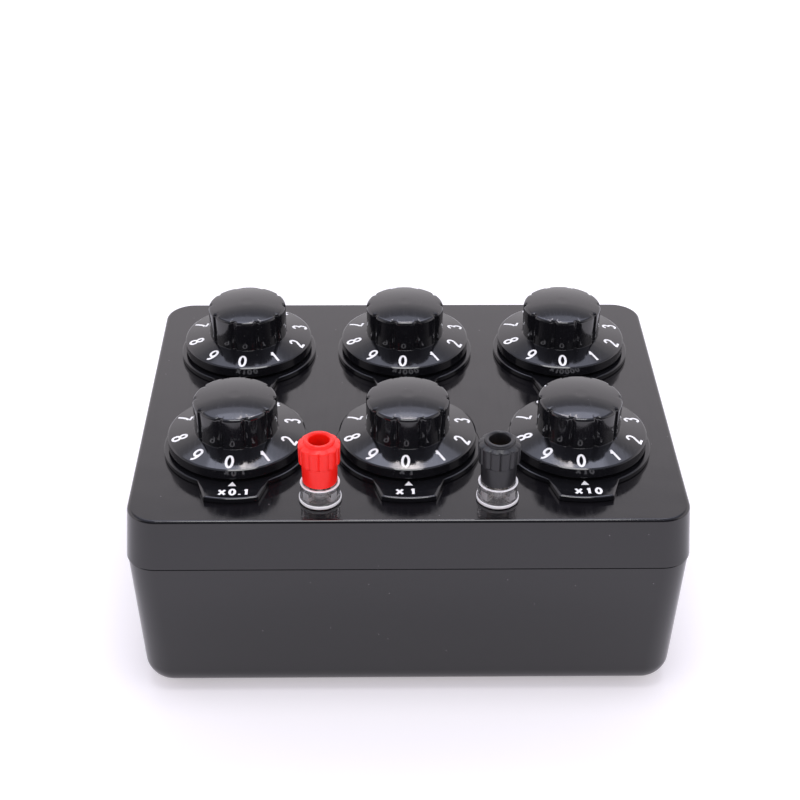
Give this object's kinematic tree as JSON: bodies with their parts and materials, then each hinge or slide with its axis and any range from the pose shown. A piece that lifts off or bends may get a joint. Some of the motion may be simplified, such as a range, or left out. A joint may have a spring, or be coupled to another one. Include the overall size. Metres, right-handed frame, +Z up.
{
  "type": "resistance box",
  "caption": "Rectangular bench case whose flat panel carries numbered dial switches and binding posts, for setting an electrical resistance decade by decade.",
  "frame": {"origin": "middle of the case, on the surface that its feet stand on", "axes": "+X along the long side to the right, +Y away from the edge with the binding posts, +Z up"},
  "size_m": [0.1726, 0.1352, 0.0903],
  "materials": {
    "case_moulding": "satin black moulding",
    "dial_plastic": "polished black moulding",
    "red_plastic": "satin red moulding",
    "black_plastic": "satin black moulding",
    "clear_plastic": "clear polished moulding",
    "nickel_plate": "nickel plate",
    "brass": "turned brass",
    "steel": "bright steel",
    "bakelite": "brown laminate",
    "resistor_winding": "varnished winding",
    "white_ink": "printed white figures",
    "wire_insulation": "plain insulation"
  },
  "bodies": {
    "case": {"case_base": "case_moulding", "top_panel": "case_moulding", "case_screw_front_left": "steel", "case_screw_back_left": "steel", "case_screw_front_right": "steel", "case_screw_back_right": "steel", "index_plate_tenths": "dial_plastic", "switch_bush_tenths": "nickel_plate", "bush_nut_tenths": "nickel_plate", "contact_board_tenths": "bakelite", "resistor_chain_tenths": "resistor_winding", "index_plate_units": "dial_plastic", "switch_bush_units": "nickel_plate", "bush_nut_units": "nickel_plate", "contact_board_units": "bakelite", "resistor_chain_units": "resistor_winding", "index_plate_tens": "dial_plastic", "switch_bush_tens": "nickel_plate", "bush_nut_tens": "nickel_plate", "contact_board_tens": "bakelite", "resistor_chain_tens": "resistor_winding", "index_plate_hundreds": "dial_plastic", "switch_bush_hundreds": "nickel_plate", "bush_nut_hundreds": "nickel_plate", "contact_board_hundreds": "bakelite", "resistor_chain_hundreds": "resistor_winding", "index_plate_thousands": "dial_plastic", "switch_bush_thousands": "nickel_plate", "bush_nut_thousands": "nickel_plate", "contact_board_thousands": "bakelite", "resistor_chain_thousands": "resistor_winding", "index_plate_ten_thousands": "dial_plastic", "switch_bush_ten_thousands": "nickel_plate", "bush_nut_ten_thousands": "nickel_plate", "contact_board_ten_thousands": "bakelite", "resistor_chain_ten_thousands": "resistor_winding", "post_stud_red": "nickel_plate", "post_collar_red": "clear_plastic", "post_nut_red": "nickel_plate", "post_stud_black": "nickel_plate", "post_collar_black": "clear_plastic", "post_nut_black": "nickel_plate", "wiring_loom": "wire_insulation"},
    "dial_tenths": {"dial_knob_tenths": "dial_plastic", "spindle_tenths": "brass"},
    "dial_units": {"dial_knob_units": "dial_plastic", "spindle_units": "brass"},
    "dial_tens": {"dial_knob_tens": "dial_plastic", "spindle_tens": "brass"},
    "dial_hundreds": {"dial_knob_hundreds": "dial_plastic", "spindle_hundreds": "brass"},
    "dial_thousands": {"dial_knob_thousands": "dial_plastic", "spindle_thousands": "brass"},
    "dial_ten_thousands": {"dial_knob_ten_thousands": "dial_plastic", "spindle_ten_thousands": "brass"},
    "insert_red": {"post_insert_red": "brass"},
    "cap_red": {"post_cap_red": "red_plastic"},
    "insert_black": {"post_insert_black": "brass"},
    "cap_black": {"post_cap_black": "black_plastic"}
  },
  "joints": [
    {"name": "tenths_turn", "type": "hinge", "parent": "case", "child": "dial_tenths", "pos_m": [-0.0538, -0.02725, 0.0686], "axis": [0, 0, 1], "continuous": true},
    {"name": "units_turn", "type": "hinge", "parent": "case", "child": "dial_units", "pos_m": [0, -0.02725, 0.0686], "axis": [0, 0, 1], "continuous": true},
    {"name": "tens_turn", "type": "hinge", "parent": "case", "child": "dial_tens", "pos_m": [0.0538, -0.02725, 0.0686], "axis": [0, 0, 1], "continuous": true},
    {"name": "hundreds_turn", "type": "hinge", "parent": "case", "child": "dial_hundreds", "pos_m": [-0.0538, 0.03215, 0.0686], "axis": [0, 0, 1], "continuous": true},
    {"name": "thousands_turn", "type": "hinge", "parent": "case", "child": "dial_thousands", "pos_m": [0, 0.03215, 0.0686], "axis": [0, 0, 1], "continuous": true},
    {"name": "ten_thousands_turn", "type": "hinge", "parent": "case", "child": "dial_ten_thousands", "pos_m": [0.0538, 0.03215, 0.0686], "axis": [0, 0, 1], "continuous": true},
    {"name": "red_cap_rise", "type": "slide", "parent": "case", "child": "insert_red", "axis": [0, 0, 1], "range_m": [0, 0.0035]},
    {"name": "red_cap_turn", "type": "hinge", "parent": "insert_red", "child": "cap_red", "pos_m": [-0.02685, -0.05445, 0.0686], "axis": [0, 0, 1], "range_deg": [0, 1800]},
    {"name": "black_cap_rise", "type": "slide", "parent": "case", "child": "insert_black", "axis": [0, 0, 1], "range_m": [0, 0.0035]},
    {"name": "black_cap_turn", "type": "hinge", "parent": "insert_black", "child": "cap_black", "pos_m": [0.02685, -0.05445, 0.0686], "axis": [0, 0, 1], "range_deg": [0, 1800]}
  ],
  "couplings": [
    {"joint": "red_cap_turn", "follows": "red_cap_rise", "rad_per_m": 8976},
    {"joint": "black_cap_turn", "follows": "black_cap_rise", "rad_per_m": 8976}
  ]
}
